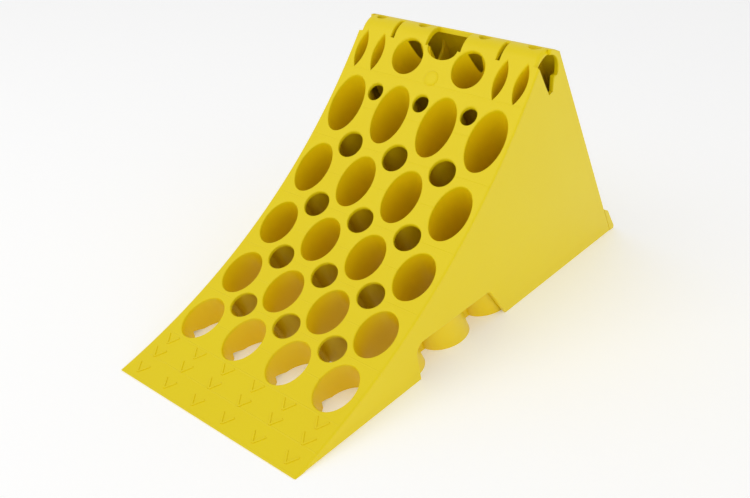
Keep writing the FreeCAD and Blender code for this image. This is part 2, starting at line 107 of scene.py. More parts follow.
class ChockSizes(bpy.types.PropertyGroup):
    half_width: length("Half width", 100, "Half the width of the chock on the floor")
    draft: angle("Draft", 1.2, "Inward lean of each side wall")
    side_wall: length("Side wall", 3.7, "Thickness of a side wall")
    toe_y: length("Toe", -235, "Where the toe edge stands")
    toe_edge: length("Toe edge", 0.6, "Height of the blunt toe edge")
    tread_radius: length("Tread radius", 530, "Radius of the wheel that the deck fits")
    toe_slope: angle("Toe slope", 14.87, "Slope of the deck at the toe")
    draw_lean: angle("Draw lean", 28.5, "Lean of the openings, towards the heel")
    skin: length("Skin", 3, "Thickness of the deck")
    hood_skin: length("Hood skin", 4.6, "Thickness of the hood and cap")
    rear_skin: length("Rear skin", 3.5, "Thickness of the rear wall")
    hood_radius: length("Hood radius", 18.7, "Outer radius of the hood")
    hood_z: length("Hood height", 205.6, "Height of the hood's axis")
    hood_foot: length("Hood foot", 213.4, "Height where the deck ends and the hood begins")
    hood_end: length("Hood end", 92.4, "End of the hood, from the middle")
    cap_fall: angle("Cap fall", 22, "Backward fall of the cap behind the hood")
    corner_radius: length("Corner radius", 6, "Rounding between the cap and the rear wall")
    rear_lean: angle("Rear lean", 30.4, "Forward lean of the rear wall")
    rear_foot: length("Rear foot", 227.7, "Where the rear wall meets the floor")
    rim_round: length("Rim round", 1.1, "Rounding of the rim of each opening")
    edge_round: length("Edge round", 1.5, "Rounding of the deck's long edges")
    hood_round: length("Hood round", 2.6, "Rounding of the ends of the hood")
    wall_round: length("Wall round", 1, "Rounding of the outer edges of a side wall")
    lip_round: length("Lip round", 1.2, "Rounding of the heel lip")
    lip_front: length("Lip front", 211, "The heel lip is rounded behind this place")
    tread_end: length("Tread end", 43.5, "Where the tread ends and the crest begins")


class ChockOpenings(bpy.types.PropertyGroup):
    column_pitch: length("Column pitch", 50.33, "Between columns of grip holes")
    row_pitch: length("Row pitch", 47.15, "Between rows of grip holes")
    row_first: length("First row", -164.6, "Row 1 of the grip holes")
    grip_half_width: length("Grip hole", 16.5, "Half the width of a grip hole")
    hole_radius: length("Small hole", 12, "Radius of a small hole")
    hole_first: length("First small row", -140.3, "First row of small holes")
    hole_pitch: length("Small row pitch", 46.6, "Between rows of small holes")
    top_hole_y: length("Top row", 35.2, "Top row of small holes")
    top_hole_radius: length("Top hole", 7.6, "Radius of a top hole")
    crest_x: length("Crest hole place", 32.3, "Crest holes, from the middle")
    crest_y: length("Crest row", 58.4, "Row of the crest holes")
    crest_half_width: length("Crest hole width", 15.7, "Half the width of a crest hole")
    crest_half_length: length("Crest hole length", 14.8, "Half the length of a crest hole")
    slot_y: length("Slot row", 57, "Row of the lens slots")
    slot_inner_x: length("Inner slots", 65.2, "Inner lens slots, from the middle")
    slot_outer_x: length("Outer slots", 84.9, "Outer lens slots, from the middle")
    slot_half_width: length("Slot width", 5.2, "Half the width of a lens slot")
    slot_half_length: length("Slot length", 15.6, "Half the length of a lens slot")
    gap_half_width: length("Gap", 18.3, "Half the gap in the middle of the hood")
    gap_back: length("Gap back", 88.5, "Rear end of the gap")
    bite_half_width: length("Bite", 15.3, "Half the width of the rounded bite below the gap")
    bite_depth: length("Bite depth", 10.4, "Depth of the bite below the hood's foot")
    slit_x: length("Slits", 55.9, "Slits in the hood, from the middle")
    slit_width: length("Slit width", 3.4, "Width of a slit")
    slit_back: length("Slit back", 83, "Rear end of a slit")
    eye_inner_x: length("Inner eyes", 32.1, "Inner ridge holes, from the middle")
    eye_outer_x: length("Outer eyes", 80.5, "Outer ridge holes, from the middle")
    eye_y: length("Eye row", 84.5, "Row of the ridge holes")
    eye_radius: length("Eye radius", 5.7, "Radius of a ridge hole")


class ChockMarks(bpy.types.PropertyGroup):
    arrow_pitch: length("Arrow pitch", 33.9, "Between columns of arrowheads")
    arrow_spread: length("Arrow spread", 6, "Half the spread of an arrowhead")
    arrow_length: length("Arrow length", 9, "Length of an arrowhead")
    arrow_bar: length("Arrow bar", 1.6, "Width of an arrowhead's bars")
    arrow_rise: length("Arrow rise", 0.7, "How far an arrowhead stands proud")
    arrow_root: length("Arrow root", 0.4, "How deep an arrowhead is set in")
    arrow_round: length("Arrow round", 0.35, "Rounding of an arrowhead")
    dome_x: length("Dome offset", 0.5, "The mould mark, from the middle")
    dome_y: length("Dome place", 49.7, "The mould mark, along the chock")
    dome_radius: length("Dome radius", 7, "Radius of the mould mark")
    dome_flatness: FloatProperty(
        name="Dome flatness",
        description="Height of the mould mark, as a part of its radius",
        default=0.22,
        subtype="FACTOR",
    )


class ChockFinish(bpy.types.PropertyGroup):
    # Painted shade: the tubes and ribs inside get a warmer, more orange yellow that stands in for the
    # orange bounce light deep in the hollows.
    inside_painted_shade_yellow: FloatVectorProperty(
        name="Inside yellow",
        description="Warmer colour inside",
        subtype="COLOR",
        default=(0.95, 0.67, 0.002),
    )
    yellow: FloatVectorProperty(
        name="Yellow",
        description="Colour of the moulded skin",
        subtype="COLOR",
        default=(0.88, 0.705, 0.0015),
    )
    warm_yellow: FloatVectorProperty(
        name="Warm yellow",
        description="Tint of its flow marks",
        subtype="COLOR",
        default=(0.87, 0.665, 0.001),
    )
    floor_grey: FloatVectorProperty(
        name="Floor",
        description="Colour of the studio floor",
        subtype="COLOR",
        default=(0.93, 0.93, 0.93),
    )


# ---- the profile that the sheet is wrapped round -------------------------------------
def tread_centre(sizes):
    """Centre of the tread's arc, as (y, z)."""
    y = sizes.toe_y - sizes.tread_radius * math.sin(sizes.toe_slope)
    return y, sizes.toe_edge + sizes.tread_radius * math.cos(sizes.toe_slope)


def tread_distance(sizes, slope):
    """How far along the sheet the deck reaches a slope."""
    return sizes.tread_radius * (slope - sizes.toe_slope)


def profile_stretches(sizes):
    """The profile as (length, radius) stretches. A radius is negative where it is rounded over."""
    top = tread_centre(sizes)[1]
    hood_slope = math.acos((top - sizes.hood_z) / (sizes.tread_radius + sizes.hood_radius))
    rear_slope = sizes.rear_lean - math.pi / 2
    hood_y = tread_centre(sizes)[0] + (sizes.tread_radius + sizes.hood_radius) * math.sin(hood_slope)
    crown_y = hood_y + sizes.hood_radius * math.sin(sizes.cap_fall)
    crown_z = sizes.hood_z + sizes.hood_radius * math.cos(sizes.cap_fall)
    lean = math.tan(sizes.rear_lean)
    cap = (sizes.rear_foot - crown_z * lean - crown_y) / (
        math.cos(sizes.cap_fall) - math.sin(sizes.cap_fall) * lean
    )
    corner_turn = -sizes.cap_fall - rear_slope
    trim = sizes.corner_radius * math.tan(corner_turn / 2)
    rear = (crown_z - cap * math.sin(sizes.cap_fall)) / math.cos(sizes.rear_lean)
    return (
        (tread_distance(sizes, hood_slope), sizes.tread_radius),
        ((hood_slope + sizes.cap_fall) * sizes.hood_radius, -sizes.hood_radius),
        (cap - trim, None),
        (corner_turn * sizes.corner_radius, -sizes.corner_radius),
        (rear - trim, None),
    )


def on_profile(sizes, stretches, distance):
    """(y, z, slope) of the skin's outer face at a distance along the sheet."""
    y, z, slope = sizes.toe_y, sizes.toe_edge, sizes.toe_slope
    for number, (reach, radius) in enumerate(stretches):
        last = number == len(stretches) - 1
        step = distance if last else min(distance, reach)
        if radius is None:
            y += step * math.cos(slope)
            z += step * math.sin(slope)
        else:
            turned = slope + step / radius
            y += radius * (math.sin(turned) - math.sin(slope))
            z += radius * (math.cos(slope) - math.cos(turned))
            slope = turned
        distance -= step
        if distance <= 0:
            break
    return y, z, slope


def deck_distance(sizes, y, offset=0.0):
    """How far along the sheet a line in the draw direction meets the deck.

    The line runs beside the one that meets the deck at y, by the offset.
    """
    centre_y = tread_centre(sizes)[0]
    axis = math.asin((y - centre_y) / sizes.tread_radius)
    beside = math.sin(axis - sizes.draw_lean) + offset / sizes.tread_radius
    return tread_distance(sizes, sizes.draw_lean + math.asin(beside))


def foot_distance(sizes):
    """How far along the sheet the hood begins."""
    drop = tread_centre(sizes)[1] - sizes.hood_foot
    return tread_distance(sizes, math.acos(drop / sizes.tread_radius))


def crest_distance(sizes, y):
    """How far along the sheet the hood or cap reaches a distance y along the chock."""
    stretches = profile_stretches(sizes)
    near, far = foot_distance(sizes), sum(reach for reach, _ in stretches[:3])
    for _ in range(40):
        middle = (near + far) / 2
        if on_profile(sizes, stretches, middle)[0] < y:
            near = middle
        else:
            far = middle
    return near


# ---- modelling steps -----------------------------------------------------------------
def only(*objects):
    """Selects these objects and nothing else. The first becomes active."""
    if bpy.context.object and bpy.context.object.mode != "OBJECT":
        bpy.ops.object.mode_set(mode="OBJECT")
    bpy.ops.object.select_all(action="DESELECT")
    for item in objects:
        item.select_set(True)
    bpy.context.view_layer.objects.active = objects[0]


def settle():
    """Moves the active object's place, turn and scale into its mesh."""
    bpy.ops.object.transform_apply(location=True, rotation=True, scale=True)
    return bpy.context.object


def block(low, high):
    """A box between two corners."""
    bpy.ops.object.select_all(action="DESELECT")
    low, high = Vector(low), Vector(high)
    bpy.ops.mesh.primitive_cube_add(size=1, location=(low + high) / 2)
    bpy.context.object.scale = high - low
    return settle()


def oval(x, along, half_x, half_along, sides=72):
    """An upright oval prism through the sheet."""
    bpy.ops.object.select_all(action="DESELECT")
    bpy.ops.mesh.primitive_cylinder_add(vertices=sides, radius=1, depth=THROUGH, location=(x, along, 0))
    bpy.context.object.scale = (half_x, half_along, 1)
    return settle()


def combine(item, tool, operation):
    """Applies a boolean with the tool, which is used up."""
    only(item)
    modifier = item.modifiers.new("combine", "BOOLEAN")
    modifier.operation = operation
    modifier.solver = "EXACT"
    modifier.object = tool
    bpy.ops.object.modifier_apply(modifier=modifier.name)
    mesh = tool.data
    bpy.data.objects.remove(tool)
    bpy.data.meshes.remove(mesh)
    return item


def cut_out(item, tools):
    """Cuts all the tools out of an item. The tools stand clear of each other."""
    only(*tools)
    if len(tools) > 1:
        bpy.ops.object.join()
    return combine(item, bpy.context.object, "DIFFERENCE")


def lens(x, along, half_x, half_along):
    """A prism with a lens section, where two wide ovals overlap."""
    ratio = half_along / half_x
    radius = (1 + ratio**2) / 2 * half_x
    sides = [
        oval(x + side * (radius - half_x), along, radius, radius, 256)
        for side in (-1, 1)
    ]
    return combine(sides[0], sides[1], "INTERSECT")


def copy_of(item, name):
    """A copy with its own mesh."""
    twin = item.copy()
    twin.data = item.data.copy()
    twin.name = name
    twin.data.name = name
    bpy.context.scene.collection.objects.link(twin)
    return twin


def chosen_edges(item, wanted):
    """Opens an item in edit mode with the edges that pass the test selected."""
    only(item)
    bpy.ops.object.mode_set(mode="EDIT")
    bpy.ops.mesh.select_mode(type="EDGE")
    bpy.ops.mesh.select_all(action="DESELECT")
    mesh = bmesh.from_edit_mesh(item.data)
    count = 0
    for edge in mesh.edges:
        if wanted(edge):
            edge.select_set(True)
            count += 1
    bmesh.update_edit_mesh(item.data)
    return count


def round_edges(item, width, wanted, segments=3):
    """Rounds the edges that pass the test."""
    if not chosen_edges(item, wanted):
        raise RuntimeError(f"no edge of {item.name} was found to round")
    bpy.ops.mesh.bevel(
        offset=width,
        segments=segments,
        profile=0.5,
        affect="EDGES",
        clamp_overlap=False,
    )
    bpy.ops.object.mode_set(mode="OBJECT")


def slice_across(item, places):
    """Cuts the faces along lines across the sheet, and leaves them joined."""
    only(item)
    bpy.ops.object.mode_set(mode="EDIT")
    for place in places:
        bpy.ops.mesh.select_all(action="SELECT")
        bpy.ops.mesh.bisect(plane_co=(0, place, 0), plane_no=(0, 1, 0))
    bpy.ops.object.mode_set(mode="OBJECT")


def keep_between(item, axis, low, high):
    """Keeps what lies between two planes square to an axis, and closes the cuts."""
    normal = [0, 0, 0]
    normal[axis] = 1
    only(item)
    bpy.ops.object.mode_set(mode="EDIT")
    for place, outer in ((low, False), (high, True)):
        if place is None:
            continue
        point = [0, 0, 0]
        point[axis] = place
        bpy.ops.mesh.select_all(action="SELECT")
        bpy.ops.mesh.bisect(
            plane_co=point, plane_no=normal, use_fill=True, clear_outer=outer, clear_inner=not outer
        )
    bpy.ops.object.mode_set(mode="OBJECT")


def smooth(item, limit=32):
    """Shades an item smoothly, with flat faces kept flat between its rounded edges."""
    only(item)
    bpy.ops.object.shade_smooth_by_angle(angle=math.radians(limit))
    modifier = item.modifiers.new("weighted", "WEIGHTED_NORMAL")
    modifier.mode = "FACE_AREA"
    modifier.keep_sharp = True
    modifier.weight = 50
    bpy.ops.object.modifier_apply(modifier=modifier.name)


def finished(item, name, material, slot, *nodes):
    """Names a piece, gives it its finish and sets it on the frame."""
    item.name = name
    item.data.name = name
    item.data.materials.clear()
    item.data.materials.append(material)
    if nodes:
        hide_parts(*nodes)
    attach(item, "root")


# ---- the flat sheet ------------------------------------------------------------------
def is_rim(edge):
    """True for an edge of the sheet's face that stands over a wall."""
    if len(edge.link_faces) != 2 or any(abs(v.co.z) > TINY for v in edge.verts):
        return False
    heights = sorted(abs(face.normal.z) for face in edge.link_faces)
    return heights[0] < 0.5 < heights[1]


def runs_along(edge, half):
    """True for an edge that lies a half width out, on one side of the sheet."""
    ends = [v.co.x for v in edge.verts]
    return abs(abs(sum(ends)) - 2 * half) < TINY and abs(ends[0] - ends[1]) < TINY


def bore_on_sheet(sizes, x, y, half_width, half_length):
    """A cutter where a bore in the draw direction meets the deck."""
    front = deck_distance(sizes, y, -half_length)
    back = deck_distance(sizes, y, half_length)
    return oval(x, (front + back) / 2, half_width, (back - front) / 2)


def deck_cutters(sizes, openings):
    """Cutters for the openings of the deck."""
    cutters = []
    for row, half_length in enumerate(BORE_HALF_LENGTHS):
        y = openings.row_first + row * openings.row_pitch
        for column in COLUMNS:
            x = column * openings.column_pitch
            cutters.append(bore_on_sheet(sizes, x, y, openings.grip_half_width, half_length))
    for column in HOLE_COLUMNS:
        x = column * openings.column_pitch
        radius = openings.hole_radius
        for row in range(4):
            y = openings.hole_first + row * openings.hole_pitch
            cutters.append(bore_on_sheet(sizes, x, y, radius, radius))
        radius = openings.top_hole_radius
        cutters.append(bore_on_sheet(sizes, x, openings.top_hole_y, radius, radius))
    front = deck_distance(sizes, openings.slot_y, -openings.slot_half_length)
    back = deck_distance(sizes, openings.slot_y, openings.slot_half_length)
    for side in (-1, 1):
        cutters.append(
            bore_on_sheet(
                sizes,
                side * openings.crest_x,
                openings.crest_y,
                openings.crest_half_width,
                openings.crest_half_length,
            )
        )
        for x in (openings.slot_inner_x, openings.slot_outer_x):
            middle, half_along = (front + back) / 2, (back - front) / 2
            cutters.append(lens(side * x, middle, openings.slot_half_width, half_along))
    return cutters


def crest_cutters(sizes, openings):
    """Cutters for the slits and ridge holes of the hood."""
    foot = foot_distance(sizes)
    slit_end = crest_distance(sizes, openings.slit_back)
    eye_place = crest_distance(sizes, openings.eye_y)
    cutters = []
    for side in (-1, 1):
        x = side * openings.slit_x
        half = openings.slit_width / 2
        cutters.append(block((x - half, foot, -THROUGH), (x + half, slit_end, THROUGH)))
        for x in (openings.eye_inner_x, openings.eye_outer_x):
            cutters.append(oval(side * x, eye_place, openings.eye_radius, openings.eye_radius, 48))
    return cutters


def trim_sides(sheet, half, start, end):
    """Cuts both sides of the sheet back to a half width, over part of its length."""
    over = 2 * half
    tools = [block((half, start, -THROUGH), (over, end, THROUGH))]
    tools.append(block((-over, start, -THROUGH), (-half, end, THROUGH)))
    cut_out(sheet, tools)


def make_sheet(sizes, openings):
    """The whole skin laid flat, with every opening cut and its rims rounded."""
    stretches = profile_stretches(sizes)
    end = sum(reach for reach, _ in stretches)
    crown = stretches[0][0] + stretches[1][0]
    foot = foot_distance(sizes)
    wide = sizes.half_width
    narrow = sizes.half_width - sizes.side_wall
    sheet = block((-wide, 0, -sizes.skin), (wide, end, 0))
    cut_out(sheet, deck_cutters(sizes, openings))
    cut_out(sheet, crest_cutters(sizes, openings))
    gap_end = crest_distance(sizes, openings.gap_back)
    gap = openings.gap_half_width
    cut_out(sheet, [block((-gap, foot, -THROUGH), (gap, gap_end, THROUGH))])
    cut_out(sheet, [oval(0, foot, openings.bite_half_width, openings.bite_depth)])
    trim_sides(sheet, sizes.hood_end, foot, crown)
    trim_sides(sheet, narrow, crown - TINY, end + 10 * MM)

    def long_edge(edge):
        return is_rim(edge) and runs_along(edge, wide)

    def opening(edge):
        inside = all(abs(v.co.x) < sizes.hood_end - TINY for v in edge.verts)
        ends = all(v.co.y < TINY or v.co.y > end - TINY for v in edge.verts)
        return is_rim(edge) and inside and not ends

    round_edges(sheet, sizes.edge_round, long_edge)
    round_edges(sheet, sizes.rim_round, opening)
    deck_end = stretches[0][0]
    corner = deck_end + stretches[1][0] + stretches[2][0]
    slice_across(sheet, steps(0, deck_end, DECK_STEP))
    slice_across(sheet, steps(deck_end, crown, HOOD_STEP))
    slice_across(sheet, steps(corner, corner + stretches[3][0], CORNER_STEP))
    sheet.name = SHEET


def steps(start, end, size):
    """Even steps from start to end, ends included, about as long as asked."""
    count = max(1, round((end - start) / size))
    return [start + (end - start) * number / count for number in range(count + 1)]


def wrap(sizes, item):
    """Rolls part of the flat sheet round the profile."""
    stretches = profile_stretches(sizes)
    foot = foot_distance(sizes)
    crown = stretches[0][0] + stretches[1][0]
    edge = sizes.half_width - MARGIN
    for vertex in item.data.vertices:
        x, along, depth = vertex.co
        y, z, slope = on_profile(sizes, stretches, along)
        lean, thick = sizes.draw_lean, 1.0
        if along > foot:
            blend = min((along - foot) / BLEND, 1)
            lean += (slope - lean) * blend
            skin = sizes.hood_skin if along < crown + MARGIN else sizes.rear_skin
            thick += (skin / sizes.skin - 1) * blend
        if depth > 0:
            lean, thick = slope, 1.0
        reach = -depth * thick / math.cos(slope - lean)
        y += reach * math.sin(lean)
        z -= reach * math.cos(lean)
        if abs(x) > edge:
            x -= math.copysign(math.tan(sizes.draft) * z, x)
        vertex.co = (x, y, max(z, 0))


def take(sizes, name, along=(None, None), across=(None, None), round_ends=False):
    """A wrapped part of the flat sheet. The ends of the hood are rounded on request."""
    part = copy_of(bpy.data.objects[SHEET], name)
    keep_between(part, 1, *along)
    keep_between(part, 0, *across)
    if round_ends:
        round_edges(part, sizes.hood_round, lambda e: is_rim(e) and runs_along(e, sizes.hood_end), 4)
    wrap(sizes, part)
    smooth(part)
    return part


# ---- materials -----------------------------------------------------------------------
def new_group(name, inputs, outputs):
    """A shader node group with its named sockets, and its input and output nodes."""
    group = bpy.data.node_groups.new(name, "ShaderNodeTree")
    for label, kind, value in inputs:
        socket = group.interface.new_socket(label, in_out="INPUT", socket_type=kind)
        if value is not None:
            socket.default_value = value
    for label, kind in outputs:
        group.interface.new_socket(label, in_out="OUTPUT", socket_type=kind)
    return group, group.nodes.new("NodeGroupInput"), group.nodes.new("NodeGroupOutput")


def noise(tree, vector, scale, detail, roughness=0.5):
    """A noise texture on a vector, with its scale set or linked."""
    node = tree.nodes.new("ShaderNodeTexNoise")
    node.inputs["Detail"].default_value = detail
    node.inputs["Roughness"].default_value = roughness
    tree.links.new(vector, node.inputs["Vector"])
    if isinstance(scale, (int, float)):
        node.inputs["Scale"].default_value = scale
    else:
        tree.links.new(scale, node.inputs["Scale"])
    return node.outputs["Fac"]


def maths(tree, operation, *values):
    """A math node on numbers or sockets."""
    node = tree.nodes.new("ShaderNodeMath")
    node.operation = operation
    for socket, value in zip(node.inputs, values):
        if isinstance(value, (int, float)):
            socket.default_value = value
        else:
            tree.links.new(value, socket)
    return node.outputs[0]


def moulded_grain():
    """Fine mould grain, faint flow marks and uneven gloss of injection moulded plastic."""
    number = "NodeSocketFloat"
    group, start, end = new_group(
        "moulded_grain",
        [
            ("Vector", "NodeSocketVector", None),
            ("Grain Scale", number, 900.0),
            ("Flow Scale", number, 14.0),
            ("Roughness", number, 0.36),
            ("Roughness Spread", number, 0.1),
        ],
        [("Flow", number), ("Roughness", number), ("Height", number)],
    )
    vector = start.outputs["Vector"]
    grain = noise(group, vector, start.outputs["Grain Scale"], 2)
    ripple = noise(group, vector, start.outputs["Flow Scale"], 3, 0.6)
    uneven = maths(group, "SUBTRACT", ripple, 0.5)
    spread = maths(group, "MULTIPLY", uneven, start.outputs["Roughness Spread"])
    fine = maths(group, "MULTIPLY", grain, 0.25)
    broad = maths(group, "MULTIPLY", ripple, 0.75)
    height = maths(group, "ADD", fine, broad)
    group.links.new(maths(group, "ADD", start.outputs["Roughness"], spread), end.inputs["Roughness"])
    group.links.new(ripple, end.inputs["Flow"])
    group.links.new(height, end.inputs["Height"])
    return group


def row_lines():
    """Thin raised lines across the deck, at an even pitch along the chock."""
    number = "NodeSocketFloat"
    group, start, end = new_group(
        "row_lines",
        [
            ("Vector", "NodeSocketVector", None),
            ("First", number, 0.0),
            ("Pitch", number, 0.047),
            ("Width", number, 0.0008),
        ],
        [("Line", number)],
    )
    split = group.nodes.new("ShaderNodeSeparateXYZ")
    group.links.new(start.outputs["Vector"], split.inputs[0])
    from_first = maths(group, "SUBTRACT", split.outputs["Y"], start.outputs["First"])
    half = maths(group, "MULTIPLY", start.outputs["Pitch"], 0.5)
    within = maths(group, "WRAP", from_first, half, maths(group, "MULTIPLY", half, -1.0))
    distance = maths(group, "DIVIDE", maths(group, "ABSOLUTE", within), start.outputs["Width"])
    line = maths(group, "SUBTRACT", 1.0, maths(group, "MINIMUM", distance, 1.0))
    group.links.new(line, end.inputs["Line"])
    return group


def place_group(tree, name, vector, **values):
    """A group node in a material, with its own values."""
    node = tree.nodes.new("ShaderNodeGroup")
    node.node_tree = bpy.data.node_groups[name]
    for label, value in values.items():
        node.inputs[label.replace("_", " ")].default_value = value
    tree.links.new(vector, node.inputs["Vector"])
    return node


def moulded_plastic(name, finish, colour, openings=None):
    """The chock's yellow plastic. The deck's own has the thin lines across its rows."""
    material = bpy.data.materials.new(name)
    material.use_nodes = True
    tree = material.node_tree
    shader = tree.nodes["Principled BSDF"]
    place = tree.nodes.new("ShaderNodeTexCoord").outputs["Object"]
    grain = place_group(tree, "moulded_grain", place)
    tint = tree.nodes.new("ShaderNodeMix")
    tint.data_type = "RGBA"
    tint.inputs["A"].default_value = (*colour, 1)
    tint.inputs["B"].default_value = (*finish.warm_yellow, 1)
    tree.links.new(grain.outputs["Flow"], tint.inputs["Factor"])
    tree.links.new(tint.outputs["Result"], shader.inputs["Base Color"])
    tree.links.new(grain.outputs["Roughness"], shader.inputs["Roughness"])
    surface = tree.nodes.new("ShaderNodeBump")
    surface.inputs["Distance"].default_value = 0.15 * MM
    surface.inputs["Strength"].default_value = 0.35
    tree.links.new(grain.outputs["Height"], surface.inputs["Height"])
    normal = surface.outputs["Normal"]
    if openings:
        rows = (
            (openings.row_first, openings.row_pitch),
            (openings.hole_first, openings.hole_pitch),
        )
        for first, pitch in rows:
            lines = place_group(tree, "row_lines", place, First=first, Pitch=pitch, Width=0.6 * MM)
            ridge = tree.nodes.new("ShaderNodeBump")
            ridge.inputs["Distance"].default_value = 0.25 * MM
            ridge.inputs["Strength"].default_value = 0.6
            tree.links.new(lines.outputs["Line"], ridge.inputs["Height"])
            tree.links.new(normal, ridge.inputs["Normal"])
            normal = ridge.outputs["Normal"]
    tree.links.new(normal, shader.inputs["Normal"])
    shader.inputs["IOR"].default_value = 1.49
    shader.inputs["Specular IOR Level"].default_value = 0.3
    return material


def plastic(kind):
    """One of the three kinds of the chock's plastic."""
    return bpy.data.materials[f"moulded_{kind}"]


# ---- operators -----------------------------------------------------------------------
class CHOCK_OT_finishes(bpy.types.Operator):
    """Builds the plastic and gives it to the tubes and ribs inside, in a warmer yellow that is painted
    shade for the orange bounce light in the hollows
    """

    bl_idname = "chock.finishes"
    bl_label = "Finishes"

    def execute(self, context):
        openings = context.scene.chock_openings
        finish = context.scene.chock_finish
        moulded_grain()
        row_lines()
        moulded_plastic("moulded_skin", finish, finish.yellow)
        moulded_plastic("moulded_deck", finish, finish.yellow, openings)
        # Painted shade: the inside plastic is a warmer yellow, standing in for the orange bounce light
        # in the hollows.
        inner = moulded_plastic("moulded_inside_painted_shade", finish, finish.inside_painted_shade_yellow)
        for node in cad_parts.values():
            for slot in node.material_slots:
                slot.material = inner
        return {"FINISHED"}


class CHOCK_OT_flat_sheet(bpy.types.Operator):
    """Lays out the skin flat, with its openings and rounded rims"""

    bl_idname = "chock.flat_sheet"
    bl_label = "Flat Sheet"

    def execute(self, context):
        sizes = context.scene.chock_sizes
        openings = context.scene.chock_openings
        make_sheet(sizes, openings)
        return {"FINISHED"}


class CHOCK_OT_deck(bpy.types.Operator):
    """Makes the toe plate, the five tread bands and the crest band"""

    bl_idname = "chock.deck"
    bl_label = "Deck"

    def execute(self, context):
        sizes = context.scene.chock_sizes
        openings = context.scene.chock_openings
        plate_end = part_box("toe_plate")[1].y
        places = [None, deck_distance(sizes, plate_end)]
        for row in range(4):
            places.append(deck_distance(sizes, openings.hole_first + row * openings.hole_pitch))
        places.append(deck_distance(sizes, sizes.tread_end))
        places.append(foot_distance(sizes) + BESIDE)
        names = ["toe_plate"] + [f"tread_band_{row}" for row in range(1, 6)] + ["crest_band"]
        for name, start, end in zip(names, places, places[1:]):
            part = take(sizes, name + "_skin", along=(start, end))
            finished(part, name + "_skin", plastic("deck"), "shell", name)
        return {"FINISHED"}


class CHOCK_OT_hood(bpy.types.Operator):
    """Makes the four segments of the hood over the passage"""

    bl_idname = "chock.hood"
    bl_label = "Hood"

    def execute(self, context):
        sizes = context.scene.chock_sizes
        openings = context.scene.chock_openings
        stretches = profile_stretches(sizes)
        along = (foot_distance(sizes) + BESIDE, stretches[0][0] + stretches[1][0] + BESIDE)
        slit = openings.slit_x
        segments = (
            ("hood_outer_left", None, -slit),
            ("hood_inner_left", -slit, 0),
            ("hood_inner_right", 0, slit),
            ("hood_outer_right", slit, None),
        )
        for name, low, high in segments:
            part = take(sizes, name + "_skin", along, (low, high), "outer" in name)
            finished(part, name + "_skin", plastic("skin"), "shell", name)
        return {"FINISHED"}


class CHOCK_OT_rear(bpy.types.Operator):
    """Makes the cap behind the hood and the rear wall, and clears the flat sheet away"""

    bl_idname = "chock.rear"
    bl_label = "Cap and Rear Wall"

    def execute(self, context):
        sizes = context.scene.chock_sizes
        stretches = profile_stretches(sizes)
        crown = stretches[0][0] + stretches[1][0]
        corner = crown + stretches[2][0]
        cap = take(sizes, "crest_cap_skin", along=(crown + BESIDE, corner))
        finished(cap, "crest_cap_skin", plastic("skin"), "shell", "crest_cap")
        wall = take(sizes, "rear_wall_skin", along=(corner, None))
        finished(wall, "rear_wall_skin", plastic("skin"), "shell", "rear_wall")
        sheet = bpy.data.objects[SHEET]
        mesh = sheet.data
        bpy.data.objects.remove(sheet)
        bpy.data.meshes.remove(mesh)
        return {"FINISHED"}


class CHOCK_OT_side_walls(bpy.types.Operator):
    """Rounds the edges of the two side walls"""

    bl_idname = "chock.side_walls"
    bl_label = "Side Walls"

    def execute(self, context):
        for word in ("left", "right"):
            name = f"side_wall_{word}"
            wall = merged_copy(name, name + "_skin")

            def outer_edge(edge):
                if len(edge.link_faces) != 2:
                    return False
                faces = sorted(edge.link_faces, key=lambda face: -abs(face.normal.x))
                flat, other = faces
                outwards = flat.normal.x * flat.calc_center_median().x > 0
                square = abs(flat.normal.x) > 0.99 and abs(other.normal.x) < 0.5
                under_deck = other.normal.z > 0.2 and other.normal.y < -0.2
                return outwards and square and not under_deck

            round_edges(wall, context.scene.chock_sizes.wall_round, outer_edge)
            smooth(wall)
            finished(wall, name + "_skin", plastic("skin"), "shell", name)
        return {"FINISHED"}


class CHOCK_OT_lip(bpy.types.Operator):
    """Rounds the edges of the lip along the heel"""

    bl_idname = "chock.lip"
    bl_label = "Heel Lip"

    def execute(self, context):
        sizes = context.scene.chock_sizes
        lip = merged_copy("heel_lip", "heel_lip_skin")

        def proud_edge(edge):
            if len(edge.link_faces) != 2:
                return False
            one, other = (face.normal for face in edge.link_faces)
            away = min(v.co.y for v in edge.verts) > sizes.lip_front
            off_floor = min(v.co.z for v in edge.verts) > TINY
            return away and one.angle(other) > math.radians(20) and off_floor

        round_edges(lip, sizes.lip_round, proud_edge)
        smooth(lip)
        finished(lip, "heel_lip_skin", plastic("skin"), "shell", "heel_lip")
        return {"FINISHED"}


def merged_copy(node, name):
    """A copy of a CAD node's mesh with its points merged and its flat faces whole."""
    piece = bpy.data.objects.new(name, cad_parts[node].data.copy())
    piece.data.name = name
    bpy.context.scene.collection.objects.link(piece)
    only(piece)
    if piece.data.has_custom_normals:
        bpy.ops.mesh.customdata_custom_splitnormals_clear()
    bpy.ops.object.mode_set(mode="EDIT")
    bpy.ops.mesh.select_all(action="SELECT")
    bpy.ops.mesh.remove_doubles(threshold=MERGE)
    bpy.ops.mesh.select_all(action="SELECT")
    bpy.ops.mesh.dissolve_limited(angle_limit=math.radians(0.5))
    bpy.ops.object.mode_set(mode="OBJECT")
    return piece


